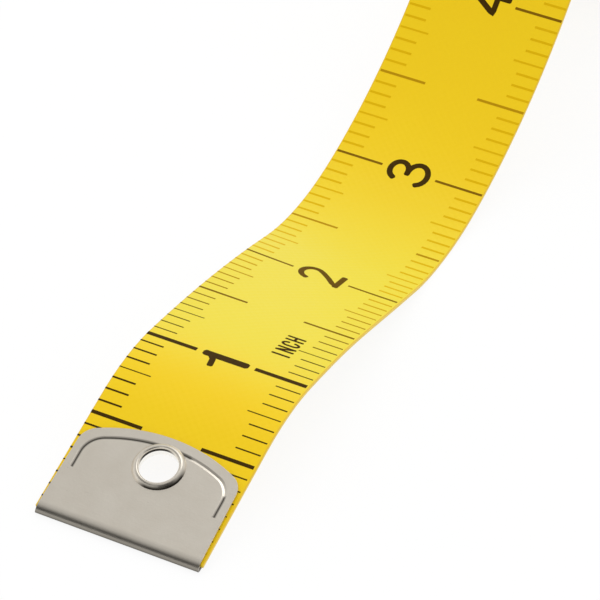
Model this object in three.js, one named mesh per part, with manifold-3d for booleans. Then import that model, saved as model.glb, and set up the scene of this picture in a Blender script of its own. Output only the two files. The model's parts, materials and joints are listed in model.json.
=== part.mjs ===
// Cloth tape measure: a coated, printed cloth strip with a folded metal tip and an eyelet.
// The strip lies in a low wave on the ground, then runs up and over the top of its own roll.
// Millimetres, +Z up. The strip runs along +X from its tip and is centred across on Y.
import * as THREE from 'three';
import { mergeVertices } from 'three/addons/utils/BufferGeometryUtils.js';
import Module from 'manifold-3d';

const wasm = await Module();
wasm.setup();

// The strip.
const TAPE_WIDTH = 19;
const TAPE_THICKNESS = 0.45;

// How the free strip lies: the tip's pitch off the ground, then the length and the turn in degrees
// of the flat tip, the crest, the slope, the valley and the rise. The run then leans over by its own
// turn until it lands on the roll.
const TIP_PITCH = 19.7;
const FLAT_LENGTH = 15;
const CREST_LENGTH = 11;
const CREST_TURN = -26;
const SLOPE_LENGTH = 30;
const SLOPE_TURN = -8.5;
const VALLEY_LENGTH = 18;
const VALLEY_TURN = 30.5;
const RISE_LENGTH = 29.3;
const RISE_TURN = 29.3;
const RUN_TURN = -15;
const BEND_STEP = 4;
const FLEX_SLIT = 0.4;

// The roll, measured to the middle of the strip, and the tail tucked into its core.
const ROLL_RADIUS = 21.5;
const ROLL_GAP = 0.47;
const CORE_RADIUS = 7.585;
const STEPS_PER_LOOP = 24;
const ROLL_FOOT = 0.05;
const TUCK_RADIUS = 4;
const TUCK_TURN = 80;
const TAIL_LENGTH = 7.5;

// The folded metal of the tip and of the tail clip.
const SHEET = 0.28;
const SHEET_GAP = 0.06;
const SIDE_MARGIN = 0.45;
const FRONT_MARGIN = 0.15;
const TIP_FRONT = -0.3;
const TIP_LENGTH = 12.9;
const TIP_REAR_RADIUS = 18;
const TIP_CORNER = 2.2;
const COIN_INSET = 1.25;
const COIN_WIDTH = 0.3;
const COIN_DEPTH = 0.1;
const COIN_START = 5.6;
const COIN_CORNER = 2.6;
const CLIP_LENGTH = 6;
const CLIP_REAR_RADIUS = 120;
const CLIP_CORNER = 0.8;

// The eyelet.
const EYELET_AT = 8.77;
const EYELET_BORE = 4.3;
const EYELET_WALL = 0.2;
const EYELET_FLANGE = 5.65;
const EYELET_RIM = 0.3;
const EYELET_CLEARANCE = 0.1;

const HALF_WIDTH = TAPE_WIDTH / 2;
const HALF_THICK = TAPE_THICKNESS / 2;
const FOLD_INNER = HALF_THICK + SHEET_GAP;
const FOLD_OUTER = FOLD_INNER + SHEET;
const METAL_HALF = HALF_WIDTH - SIDE_MARGIN;
const FRONT_HALF = HALF_WIDTH - FRONT_MARGIN;
const BARREL = EYELET_BORE / 2 + EYELET_WALL;
const CUTTER_REACH = 4 * FOLD_OUTER;
const ROLL_PITCH = TAPE_THICKNESS + ROLL_GAP;
const LOOP_STEP = (2 * Math.PI) / STEPS_PER_LOOP;
const radians = THREE.MathUtils.degToRad;
const FREE_LAY = [
  { length: FLAT_LENGTH, turn: 0 },
  { length: CREST_LENGTH, turn: CREST_TURN },
  { length: SLOPE_LENGTH, turn: SLOPE_TURN },
  { length: VALLEY_LENGTH, turn: VALLEY_TURN },
  { length: RISE_LENGTH, turn: RISE_TURN },
];

// Solids in and out of the boolean kernel.
function toSolid(geometry) {
  const bare = geometry.clone();
  bare.deleteAttribute('normal');
  bare.deleteAttribute('uv');
  const merged = mergeVertices(bare, 1e-4);
  return new wasm.Manifold(new wasm.Mesh({
    numProp: 3,
    vertProperties: new Float32Array(merged.attributes.position.array),
    triVerts: new Uint32Array(merged.index.array),
  }));
}

function toGeometry(solid) {
  const mesh = solid.getMesh();
  const geometry = new THREE.BufferGeometry();
  geometry.setAttribute('position', new THREE.BufferAttribute(new Float32Array(mesh.vertProperties), 3));
  geometry.setIndex(new THREE.BufferAttribute(new Uint32Array(mesh.triVerts), 1));
  return geometry;
}

// Free strip: the place and the heading of its middle line at a distance from the scale's zero.
function walk(place, length, turn) {
  const next = { ...place };
  next.heading += turn;
  if (turn === 0) {
    next.x += length * Math.cos(place.heading);
    next.z += length * Math.sin(place.heading);
    return next;
  }
  const radius = length / turn;
  next.x += radius * (Math.sin(next.heading) - Math.sin(place.heading));
  next.z += radius * (Math.cos(place.heading) - Math.cos(next.heading));
  return next;
}

function freePlace(distance) {
  let place = { x: 0, z: 0, heading: radians(TIP_PITCH) };
  let left = distance;
  for (const part of FREE_LAY) {
    const go = Math.min(left, part.length);
    place = walk(place, go, radians(part.turn) * (go / part.length));
    left -= go;
  }
  return walk(place, left, 0);
}

const starts = [0];
const marks = [];
function markOut(part) {
  const from = starts[starts.length - 1];
  const count = Math.max(1, Math.ceil(Math.abs(part.turn) / BEND_STEP));
  for (let i = 1; i <= count; i += 1) {
    marks.push(from + (part.length * i) / count);
  }
  starts.push(from + part.length);
}
FREE_LAY.forEach(markOut);
const riseEnd = freePlace(starts[starts.length - 1]);

// Ground: the lower of the tip's fold and the strip's valley stands on it.
let lowest = (TIP_FRONT + FOLD_OUTER) * Math.sin(radians(TIP_PITCH)) - FOLD_OUTER;
for (const mark of marks) {
  const place = freePlace(mark);
  lowest = Math.min(lowest, place.z - HALF_THICK * Math.cos(place.heading));
}

// Roll: the strip lands on it at the slope that the run ends with, and winds inwards.
const landing = riseEnd.heading + radians(RUN_TURN);
const facet = Math.cos(LOOP_STEP / 2);

function rollRadius(swept) {
  return ROLL_RADIUS - (ROLL_PITCH * swept) / (2 * Math.PI);
}

let rollDrop = 0;
for (let i = 0; i < STEPS_PER_LOOP; i += 1) {
  const swept = LOOP_STEP * (i + 0.5);
  const outer = (rollRadius(swept) + HALF_THICK) / facet;
  rollDrop = Math.max(rollDrop, -outer * Math.cos(landing - swept));
}
const rollHeight = rollDrop - ROLL_FOOT;
const runRise = rollHeight + lowest + ROLL_RADIUS * Math.cos(landing) - riseEnd.z;
const runLength = (runRise * radians(RUN_TURN)) / (Math.cos(riseEnd.heading) - Math.cos(landing));
const run = { length: runLength, turn: RUN_TURN };
FREE_LAY.push(run);
markOut(run);
const freeEnd = starts[starts.length - 1];
const touch = freePlace(freeEnd);
const rollX = touch.x + ROLL_RADIUS * Math.sin(landing);
const rollZ = touch.z - ROLL_RADIUS * Math.cos(landing);

// Stations of a strip: a place on its middle line, its normal, and how far its faces stand off.
function station(place, reach = 1) {
  return {
    x: place.x,
    z: place.z,
    nx: -Math.sin(place.heading) * reach,
    nz: Math.cos(place.heading) * reach,
  };
}

function freeStations(from, to) {
  const inside = marks.filter((mark) => mark > from + 0.01 && mark < to - 0.01);
  return [from, ...inside, to].map((distance) => station(freePlace(distance)));
}

const loopCount = Math.round(((ROLL_RADIUS - CORE_RADIUS) / ROLL_PITCH) * STEPS_PER_LOOP);
const rollStations = [];
for (let i = 0; i < loopCount; i += 1) {
  const swept = LOOP_STEP * (i + 0.5);
  const heading = landing - swept;
  const radius = rollRadius(swept) / facet;
  const place = {
    x: rollX - radius * Math.sin(heading),
    z: rollZ + radius * Math.cos(heading),
    heading,
  };
  rollStations.push(station(place, 1 / facet));
}
const lastSwept = LOOP_STEP * loopCount;
let tail = {
  x: rollX - rollRadius(lastSwept) * Math.sin(landing - lastSwept),
  z: rollZ + rollRadius(lastSwept) * Math.cos(landing - lastSwept),
  heading: landing - lastSwept,
};
const tuckSteps = Math.ceil(TUCK_TURN / 10);
const tuckStep = radians(TUCK_TURN / tuckSteps);
for (let i = 0; i < tuckSteps; i += 1) {
  tail = walk(tail, TUCK_RADIUS * tuckStep, -tuckStep);
  rollStations.push(station(tail));
}
tail = walk(tail, TAIL_LENGTH, 0);
rollStations.push(station(tail));

function strip(stations) {
  const corners = [[-1, 1], [1, 1], [1, -1], [-1, -1]];
  const points = [];
  const faces = [];
  for (const at of stations) {
    for (const [side, face] of corners) {
      const off = face * HALF_THICK;
      points.push(at.x + at.nx * off, side * HALF_WIDTH, at.z + at.nz * off);
    }
  }
  for (let i = 0; i + 1 < stations.length; i += 1) {
    for (let j = 0; j < 4; j += 1) {
      const a = i * 4 + j;
      const b = i * 4 + ((j + 1) % 4);
      faces.push(a, b + 4, b, a, a + 4, b + 4);
    }
  }
  const end = (stations.length - 1) * 4;
  faces.push(0, 1, 2, 0, 2, 3);
  faces.push(end, end + 2, end + 1, end, end + 3, end + 2);
  const geometry = new THREE.BufferGeometry();
  geometry.setAttribute('position', new THREE.Float32BufferAttribute(points, 3));
  geometry.setIndex(faces);
  return geometry;
}

// A local frame on the strip: x along it from an end, y across, z off its face.
function frameAt(place, backwards) {
  const sense = backwards ? -1 : 1;
  const along = new THREE.Vector3(sense * Math.cos(place.heading), 0, sense * Math.sin(place.heading));
  const across = new THREE.Vector3(0, 1, 0);
  const off = new THREE.Vector3().crossVectors(along, across);
  return new THREE.Matrix4().makeBasis(along, across, off).setPosition(place.x, 0, place.z);
}

// Rear contour of a folded sheet: straight sides, rounded corners and a wide arc between them.
// Its sides lean out to another half width where they start, if one is given.
function contour(inset, from, length, rearRadius, corner, fromHalf) {
  const side = METAL_HALF - inset;
  const start = fromHalf ?? side;
  const round = corner - inset;
  const radius = rearRadius - inset;
  const centre = length - rearRadius;
  const reach = radius - round;
  const turn = Math.asin((side - round) / reach);
  const cornerX = centre + reach * Math.cos(turn);
  const points = [new THREE.Vector2(from, -start)];
  const arc = (x, y, r, start, stop, count) => {
    for (let i = 0; i <= count; i += 1) {
      const angle = start + ((stop - start) * i) / count;
      points.push(new THREE.Vector2(x + r * Math.cos(angle), y + r * Math.sin(angle)));
    }
  };
  arc(cornerX, round - side, round, -Math.PI / 2, -turn, 5);
  arc(centre, 0, radius, -turn * 0.85, turn * 0.85, 10);
  arc(cornerX, side - round, round, turn, Math.PI / 2, 5);
  points.push(new THREE.Vector2(from, start));
  return points;
}

// A sheet folded round the strip's end: the fold's profile carried across, trimmed to the contour.
function foldedSheet(front, length, rearRadius, corner, frontHalf, bore) {
  const centre = front + FOLD_OUTER;
  const beyond = front + length + CUTTER_REACH;
  const profile = new THREE.Shape();
  profile.moveTo(beyond, FOLD_OUTER);
  profile.lineTo(centre, FOLD_OUTER);
  profile.absarc(centre, 0, FOLD_OUTER, Math.PI / 2, Math.PI * 1.5, false);
  profile.lineTo(beyond, -FOLD_OUTER);
  profile.lineTo(beyond, -FOLD_INNER);
  profile.lineTo(centre, -FOLD_INNER);
  profile.absarc(centre, 0, FOLD_INNER, Math.PI * 1.5, Math.PI / 2, true);
  profile.lineTo(beyond, FOLD_INNER);
  profile.closePath();
  const fold = new THREE.ExtrudeGeometry(profile, {
    depth: TAPE_WIDTH,
    bevelEnabled: false,
    curveSegments: 10,
  });
  fold.rotateX(Math.PI / 2);
  fold.translate(0, HALF_WIDTH, 0);
  const ahead = front - CUTTER_REACH;
  const outline = new THREE.Shape([
    new THREE.Vector2(ahead, -frontHalf),
    ...contour(0, front, front + length, rearRadius, corner, frontHalf),
    new THREE.Vector2(ahead, frontHalf),
  ]);
  if (bore) {
    const hole = new THREE.Path();
    hole.absarc(EYELET_AT, 0, BARREL + EYELET_CLEARANCE, 0, Math.PI * 2, true);
    outline.holes.push(hole);
  }
  const trim = new THREE.ExtrudeGeometry(outline, {
    depth: 2 * CUTTER_REACH,
    bevelEnabled: false,
    curveSegments: 16,
  });
  trim.translate(0, 0, -CUTTER_REACH);
  return toSolid(fold).intersect(toSolid(trim));
}

// The coined line runs inside the rear contour and stops part-way down both sides.
function coinedLine() {
  const rear = TIP_FRONT + TIP_LENGTH;
  const half = COIN_WIDTH / 2;
  const corner = COIN_CORNER + COIN_INSET;
  const outer = contour(COIN_INSET - half, COIN_START, rear, TIP_REAR_RADIUS, corner);
  const inner = contour(COIN_INSET + half, COIN_START, rear, TIP_REAR_RADIUS, corner);
  const band = new THREE.Shape([...outer, ...inner.reverse()]);
  const groove = new THREE.ExtrudeGeometry(band, { depth: CUTTER_REACH, bevelEnabled: false });
  groove.translate(0, 0, FOLD_OUTER - COIN_DEPTH);
  return toSolid(groove);
}

// Eyelet: a tube with a rounded flange over each face of the tip.
function eyelet() {
  const bore = EYELET_BORE / 2;
  const flange = EYELET_FLANGE / 2;
  const seat = FOLD_OUTER + SHEET_GAP;
  const top = seat + EYELET_RIM;
  const ease = EYELET_RIM * 0.55;
  const half = [
    [flange, seat],
    [flange, top - ease],
    [flange - ease, top],
    [bore + ease, top],
    [bore, top - ease],
  ];
  const upper = [[BARREL, seat], ...half];
  const lower = half.map(([r, z]) => [r, -z]).reverse();
  const ring = [...upper, ...lower, [BARREL, -seat], [BARREL, seat]];
  const points = ring.map(([r, z]) => new THREE.Vector2(r, z));
  const geometry = new THREE.LatheGeometry(points, 32);
  geometry.rotateX(Math.PI / 2);
  geometry.translate(EYELET_AT, 0, 0);
  return geometry;
}

const tipFrame = frameAt(freePlace(0), false);
const tailFrame = frameAt(tail, true);

const blank = foldedSheet(TIP_FRONT, TIP_LENGTH, TIP_REAR_RADIUS, TIP_CORNER, FRONT_HALF, true);
const shell = blank.subtract(coinedLine());
const shellGeometry = toGeometry(shell).applyMatrix4(tipFrame);
const eyeletGeometry = eyelet().applyMatrix4(tipFrame);
const clip = foldedSheet(-FOLD_OUTER, CLIP_LENGTH, CLIP_REAR_RADIUS, CLIP_CORNER, METAL_HALF, false);
const clipGeometry = toGeometry(clip).applyMatrix4(tailFrame);

// Flex lines stand in the middle of the crest, the slope, the valley, the rise and the run.
const flexLines = FREE_LAY.slice(1).map((part, i) => starts[i + 1] + part.length / 2);
const stretchNames = ['tape_end', 'tape_crest', 'tape_slope', 'tape_valley', 'tape_rise'];
const bodies = [];
let from = TIP_FRONT + FOLD_OUTER;
flexLines.forEach((line, i) => {
  bodies.push([stretchNames[i], strip(freeStations(from, line - FLEX_SLIT / 2))]);
  from = line + FLEX_SLIT / 2;
});
bodies.push(['tape_roll', strip([...freeStations(from, freeEnd), ...rollStations])]);

// The strip's end has the eyelet's hole.
const punchRadius = BARREL + EYELET_CLEARANCE;
const punch = new THREE.CylinderGeometry(punchRadius, punchRadius, 2 * CUTTER_REACH, 32);
punch.rotateX(Math.PI / 2);
punch.translate(EYELET_AT, 0, 0);
punch.applyMatrix4(tipFrame);
bodies[0][1] = toGeometry(toSolid(bodies[0][1]).subtract(toSolid(punch)));

const cloth = { color: 0xf0cc25, roughness: 0.45, metalness: 0 };
const plate = { color: 0xc6bdac, roughness: 0.3, metalness: 1 };
const group = new THREE.Group();
function add(name, geometry, look) {
  const mesh = new THREE.Mesh(geometry, new THREE.MeshStandardMaterial(look));
  mesh.name = name;
  group.add(mesh);
}
add('tip_shell', shellGeometry, plate);
add('tip_eyelet', eyeletGeometry, plate);
for (const [name, geometry] of bodies) {
  add(name, geometry, cloth);
}
add('tail_clip', clipGeometry, plate);

// Stand the part on the ground with its origin under the middle of its length, and press the
// facet that the roll stands on flat.
const extent = new THREE.Box3().setFromObject(group);
const shiftX = -(extent.min.x + extent.max.x) / 2;
for (const mesh of group.children) {
  mesh.geometry.translate(shiftX, 0, -lowest);
  const position = mesh.geometry.attributes.position;
  for (let i = 0; i < position.count; i += 1) {
    position.setZ(i, Math.max(position.getZ(i), 0));
  }
}

// Least gap in the roll: each middle-line point against the facets half a loop or more away.
let leastGap = Infinity;
for (let i = 0; i < rollStations.length; i += 1) {
  for (let j = i + 12; j + 1 < rollStations.length; j += 1) {
    const p = rollStations[i];
    const a = rollStations[j];
    const b = rollStations[j + 1];
    const dx = b.x - a.x;
    const dz = b.z - a.z;
    const along = ((p.x - a.x) * dx + (p.z - a.z) * dz) / (dx * dx + dz * dz);
    const clamped = Math.min(1, Math.max(0, along));
    const away = Math.hypot(p.x - a.x - dx * clamped, p.z - a.z - dz * clamped);
    leastGap = Math.min(leastGap, away - TAPE_THICKNESS);
  }
}
const wound = ROLL_RADIUS * lastSwept - (ROLL_PITCH * lastSwept * lastSwept) / (4 * Math.PI);
const stripLength = freeEnd + wound + TUCK_RADIUS * radians(TUCK_TURN) + TAIL_LENGTH;
const show = (value) => value.toFixed(3);
console.log(`strip length ${show(stripLength)}, least gap in the roll ${show(leastGap)}`);
console.log(`roll centre ${show(rollX + shiftX)} ${show(rollZ - lowest)}, run length ${show(runLength)}`);
for (const line of flexLines) {
  const place = freePlace(line);
  console.log(`flex line at ${show(line)}: x ${show(place.x + shiftX)} z ${show(place.z - lowest)}`);
}

export default group;
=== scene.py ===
"""Cloth tape measure: the dressed model of a coated, printed strip with a folded metal tip.

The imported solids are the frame. Each operator makes one piece, or one group of like pieces, in
metres and in that frame. Lengths along the strip are counted from the scale's zero at the tip.
"""

import bisect
import json
import math

import bmesh
import bpy
from bpy.props import FloatProperty, FloatVectorProperty, IntProperty, PointerProperty
from mathutils import Matrix, Vector


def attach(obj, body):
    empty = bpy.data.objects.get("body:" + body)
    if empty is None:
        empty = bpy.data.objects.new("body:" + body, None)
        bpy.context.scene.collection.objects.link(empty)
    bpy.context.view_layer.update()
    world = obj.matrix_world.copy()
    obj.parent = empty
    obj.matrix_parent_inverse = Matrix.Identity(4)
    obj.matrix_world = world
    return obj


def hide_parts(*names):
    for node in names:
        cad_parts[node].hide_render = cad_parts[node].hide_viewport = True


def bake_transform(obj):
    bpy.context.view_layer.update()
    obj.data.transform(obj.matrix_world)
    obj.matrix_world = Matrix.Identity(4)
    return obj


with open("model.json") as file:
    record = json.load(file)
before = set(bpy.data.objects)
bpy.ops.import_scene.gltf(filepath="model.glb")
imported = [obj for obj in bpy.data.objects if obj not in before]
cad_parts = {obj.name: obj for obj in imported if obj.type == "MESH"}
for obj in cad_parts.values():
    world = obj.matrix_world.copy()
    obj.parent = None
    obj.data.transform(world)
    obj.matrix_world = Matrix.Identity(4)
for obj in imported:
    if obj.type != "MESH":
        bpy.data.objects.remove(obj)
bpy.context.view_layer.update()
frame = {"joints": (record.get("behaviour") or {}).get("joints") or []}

bl_info = {
    "name": "Cloth Tape Measure",
    "version": (1, 0, 0),
    "blender": (4, 5, 0),
    "location": "3D View > Sidebar > Tape Measure",
    "description": "Models a coated cloth tape measure with its metal tip, print and roll",
    "category": "Object",
}

MM = 0.001
INCH = 0.0254
# Points that are closer together than this are one point.
TOUCH = 0.0001 * MM
JOINTS = {joint["name"]: joint for joint in frame["joints"]}

# The stretches of the strip from the tip to the roll: body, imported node, flex line at its far end.
STRETCHES = (
    ("tip", "tape_end", "crest_flex"),
    ("crest", "tape_crest", "slope_flex"),
    ("slope", "tape_slope", "valley_flex"),
    ("valley", "tape_valley", "rise_flex"),
    ("rise", "tape_rise", "run_flex"),
    ("roll", "tape_roll", None),
)


def linear(hex_colour):
    """The linear colour of an sRGB hex value, with an alpha of 1."""
    channels = [int(hex_colour[i : i + 2], 16) / 255 for i in (1, 3, 5)]
    rgb = [c / 12.92 if c <= 0.04045 else ((c + 0.055) / 1.055) ** 2.4 for c in channels]
    return [*rgb, 1.0]


def length(name, description, millimetres):
    """A length property, given in millimetres."""
    return FloatProperty(
        name=name, description=description, default=millimetres * MM, unit="LENGTH", precision=6
    )


def angle(name, description, degrees):
    """An angle property, given in degrees."""
    return FloatProperty(
        name=name, description=description, default=math.radians(degrees), subtype="ANGLE"
    )


def share(name, description, value):
    """A property for a share, from 0 for none to 1 for all."""
    return FloatProperty(name=name, description=description, default=value, subtype="FACTOR")


def colour(name, description, hex_colour):
    """A colour property, given as an sRGB hex value."""
    return FloatVectorProperty(
        name=name,
        description=description,
        default=linear(hex_colour),
        subtype="COLOR",
        size=4,
        min=0.0,
        max=1.0,
    )


class StripSizes(bpy.types.PropertyGroup):
    """The strip and the way it lies."""

    width: length("Width", "Width of the strip", 19)
    thickness: length("Thickness", "Thickness of the coated cloth", 0.45)
    edge_round: length("Edge round", "Rounding of the cut edges", 0.07)
    edge_bare: length("Bare edge", "From a cut edge to where the coat is gone", 0.05)
    edge_whole: length("Whole edge", "From a cut edge to where the coat is whole", 0.17)
    thread: length("Thread", "Distance between the threads that show through the coat", 0.5)
    # Where the coat's painted sheen starts, is full, begins to wane and ends.
    fade_start: length("Fade start", "Where the coat begins to fade from handling", 18)
    fade_full: length("Fade full", "Where it is faded most", 32)
    fade_ease: length("Fade ease", "Where it begins to be fresh again", 52)
    fade_stop: length("Fade stop", "Where it is all fresh again", 82)
    start: length("Start", "Where the cloth starts inside the tip's fold", 0.265)
    tip_pitch: angle("Tip pitch", "Slope of the strip at its tip", 19.7)
    flat_length: length("Flat length", "Straight stretch behind the tip", 15)
    crest_length: length("Crest length", "Length of the crest's bend", 11)
    crest_turn: angle("Crest turn", "Turn over the crest", -26)
    slope_length: length("Slope length", "Length of the falling slope", 30)
    slope_turn: angle("Slope turn", "Turn along the slope", -8.5)
    valley_length: length("Valley length", "Length of the valley's bend", 18)
    valley_turn: angle("Valley turn", "Turn through the valley", 30.5)
    rise_length: length("Rise length", "Length of the rising bend", 29.3)
    rise_turn: angle("Rise turn", "Turn along the rise", 29.3)
    run_turn: angle("Run turn", "Turn of the run that leans over to the roll", -15)
    roll_radius: length("Roll radius", "Middle of the cloth on the roll's outer loop", 21.5)
    roll_pitch: length("Roll pitch", "Distance between two loops of the roll", 0.92)
    roll_turn: angle("Roll turn", "Whole turn of the roll, from landing to core", 5445)
    tuck_radius: length("Tuck radius", "Bend of the cloth into the core", 4)
    tuck_turn: angle("Tuck turn", "Turn of the cloth into the core", -80)
    tail_length: length("Tail length", "Straight tail inside the core", 7.5)
    roll_crown: length("Roll crown", "How far the edges lie under the middle on the roll", 0.6)
    crown_start: length("Crown start", "Length over which the crown grows on the roll", 60)
    crown_stop: length("Crown stop", "Length over which the crown fades to the core", 190)
    sag: length("Sag", "How far the right edge hangs under the left one on the slope", 0.47)
    sag_middle: length("Sag middle", "Where on the slope it hangs most", 50)
    sag_reach: length("Sag reach", "Length to both sides over which it fades", 18)
    sag_bow: share("Sag bow", "How much the hanging part bows between the edges", 0.9)
    bend_step: length("Bend step", "Distance between rings of the free strip", 0.5)
    roll_step: angle("Roll step", "Angle between rings on the roll", 3.75)
    flex_reach: length("Flex reach", "Half the stretch that bends at a flex line", 3.5)


class PrintSizes(bpy.types.PropertyGroup):
    """The printed inch scale."""

    ink_height: length("Ink height", "How far the ink stands on the coat", 0.012)
    ink_step: length("Ink step", "Longest straight piece of a printed stroke", 0.4)
    tick_width: length("Tick width", "Width of the short ticks", 0.16)
    first_tick_width: length("First tick width", "Width of the left ticks of the first inch", 0.22)
    quarter_width: length("Quarter width", "Width of the quarter-inch ticks", 0.13)
    line_width: length("Line width", "Width of the half-inch and inch lines", 0.33)
    half_line_width: length("Half line width", "Width of the first half-inch line", 0.44)
    first_line_width: length("First line width", "Width of the first inch line", 0.6)
    left_margin: length("Left margin", "From the left edge to the ticks", 0.02)
    right_margin: length("Right margin", "From the right edge to the ticks", 0.28)
    right_shift: length("Right shift", "How much further in the right ticks end", 0.38)
    short_tick: length("Short tick", "Length of a sixteenth-inch tick", 2.75)
    quarter_tick: length("Quarter tick", "Length of a quarter-inch tick", 3.7)
    long_line: length("Long line", "Length of a half-inch or inch line", 5.9)
    pale_start: length("Pale start", "Where the fine marks begin to turn pale", 31)
    pale_reach: length("Pale reach", "Length over which they turn pale, and dark again", 21)
    pale_stop: length("Pale stop", "Where the fine marks are dark again", 126)
    pale_tick: share("Pale tick", "Ink on the palest ticks", 0.3)
    pale_half: share("Pale half line", "Ink on the palest half-inch lines", 0.61)
    pale_line: share("Pale line", "Ink on the palest inch lines", 0.86)
    pale_spread: share("Pale spread", "How much wider the palest ticks are", 0.8)
    drift: length("Drift", "How far the print wanders to the right", 0.2)
    drift_start: length("Drift start", "Where the print begins to wander", 58)
    drift_reach: length("Drift reach", "Length over which it wanders", 30)
    mark_step: length("Mark step", "Longest straight piece of a tick or line", 1.5)
    cut_line: IntProperty(
        name="Cut line", description="Half inch whose right line is as short as a tick", default=5
    )
    number_height: length("Number height", "Height of the numbers", 5.35)
    number_width: length("Number width", "Width of one digit", 3.7)
    number_stroke: length("Number stroke", "Stroke of the numbers", 0.7)
    first_stroke: length("First stroke", "Stroke of the first number", 1.02)
    number_gap: length("Number gap", "Gap between two digits", 0.7)
    number_middle: length("Number middle", "Middle of the numbers across the strip", 0.17)
    # One number gets less ink: a painted highlight.
    rubbed_number: IntProperty(
        name="Rubbed number", description="Number whose ink is rubbed thin", default=2
    )
    rubbed_ink: share("Rubbed ink", "Ink left on that number", 0.94)
    unit_start: length("Unit start", "Where the unit word starts", 29.2)
    unit_foot: length("Unit foot", "Foot of the unit word across the strip", -5.3)
    unit_height: length("Unit height", "Height of the unit word", 2.15)
    unit_width: length("Unit width", "Width of one letter of the unit word", 1.0)
    unit_stroke: length("Unit stroke", "Stroke of the unit word", 0.3)
    unit_gap: length("Unit gap", "Gap between two letters of the unit word", 0.32)
    last_inch: IntProperty(name="Last inch", description="Last number on the strip", default=60)


class MetalSizes(bpy.types.PropertyGroup):
    """The folded tip, its eyelet and the tail clip."""

    sheet: length("Sheet", "Thickness of the sheet steel", 0.28)
    fold_inner: length("Fold inner", "Half the space inside the fold", 0.285)
    half_width: length("Half width", "Half the width of clip and tip, at its rear", 9.05)
    front_half: length("Front half width", "Half the width of the tip at its fold", 9.25)
    fold_reach: length("Fold reach", "From the fold's front to where its bend starts", 1.15)
    fold_droop: length("Fold droop", "How much further the fold's lower half reaches", 0.28)
    edge_round: length("Edge round", "Rounding of the sheet's edges", 0.07)
    tip_front: length("Tip front", "Front of the tip's fold", -0.3)
    tip_length: length("Tip length", "From the tip's front to its rear", 12.9)
    tip_rear_radius: length("Tip rear radius", "Radius of the tip's rounded rear", 18)
    tip_corner: length("Tip corner", "Radius of the tip's rear corners", 2.2)
    coin_inset: length("Coined inset", "From the tip's rear to its coined line", 1.25)
    coin_side: length("Coined side", "From the tip's sides to its coined line", 0.95)
    coin_corner: length("Coined corner", "Radius of the coined line's corners", 2.6)
    coin_start: length("Coined start", "Where the coined line starts", 5.6)
    coin_width: length("Coined width", "Width of the coined line", 0.5)
    # Where the coined line's bottom is not painted darker: right of the one and behind the other.
    clean_side: length("Clean side", "How far right of the middle the coined line is clean", 3)
    clean_rear: length("Clean rear", "How far back the coined line is clean", 8.2)
    coin_depth: length("Coined depth", "Depth of the coined line", 0.085)
    clip_length: length("Clip length", "Length of the tail clip", 6)
    clip_rear_radius: length("Clip rear radius", "Radius of the clip's rear", 120)
    clip_corner: length("Clip corner", "Radius of the clip's rear corners", 0.8)
    eyelet_at: length("Eyelet place", "Middle of the eyelet along the strip", 8.95)
    eyelet_aside: length("Eyelet aside", "How far right of the middle the eyelet sits", 0.27)
    eyelet_bore: length("Eyelet bore", "Diameter of the eyelet's hole", 4.15)
    eyelet_wall: length("Eyelet wall", "Wall of the eyelet's tube", 0.4)
    eyelet_flange: length("Eyelet flange", "Diameter of the eyelet's rolled rim", 5.65)
    eyelet_rim: length("Eyelet rim", "How far the rolled rim stands on the tip", 0.45)
    eyelet_crest: length("Eyelet crest", "From the bore to the rim's highest line", 0.22)
    eyelet_lip: length("Eyelet lip", "How far the rim drops from there to the bore", 0.26)
    eyelet_foot: length("Eyelet foot", "How far the lower rim stands under the tip", 0.14)
    eyelet_flare: length("Eyelet flare", "How far the bore opens at its lower end", 0.3)
    # How deep the painted shade reaches into the bore under the rim.
    eyelet_shade: length("Eyelet shade", "How deep the bore is tarnished under the rim", 0.36)
    eyelet_clearance: length("Eyelet clearance", "Clearance round the eyelet's tube", 0.1)


class Finishes(bpy.types.PropertyGroup):
    """The colours."""

    cloth: colour("Cloth", "Yellow coat of the strip", "#F4D103")
    cloth_deep: colour("Cloth, deep", "Yellow coat where it lies thicker", "#F4CA02")
    cloth_faded: colour("Cloth, faded", "Yellow coat where handling has faded it", "#EED934")
    # Painted sheen of the coat over the first inches.
    cloth_edge: colour("Cloth edge", "Cut edge of the strip", "#E8BE2C")
    cloth_sheen: colour("Cloth sheen", "Sheen of the coat at a low angle", "#F1FFB3")
    ink: colour("Ink", "Printed scale", "#342501")
    ink_thin: colour("Ink, thin", "Printed scale where the ink is thin", "#4A3304")
    ink_faint: colour("Ink, faint", "Printed scale where hardly any ink took", "#B52A00")
    nickel: colour("Nickel", "Plated steel", "#F0E9DC")
    nickel_dull: colour("Nickel, dull", "Plated steel where it is tarnished", "#E2D9CA")
    # Dark for the painted shade and reflection on the fold and the eyelet, and for the darker bottom
    # of the coined line.
    nickel_worn: colour("Nickel, worn", "Plated steel where the plating is worn off", "#2B2823")
    # Painted reflection that whitens the eyelet's bore.
    nickel_rubbed: colour("Nickel, rubbed", "Plated steel that is rubbed bright", "#FFFDF8")
    floor: colour("Floor", "Studio floor", "#FFFFFF")


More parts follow.
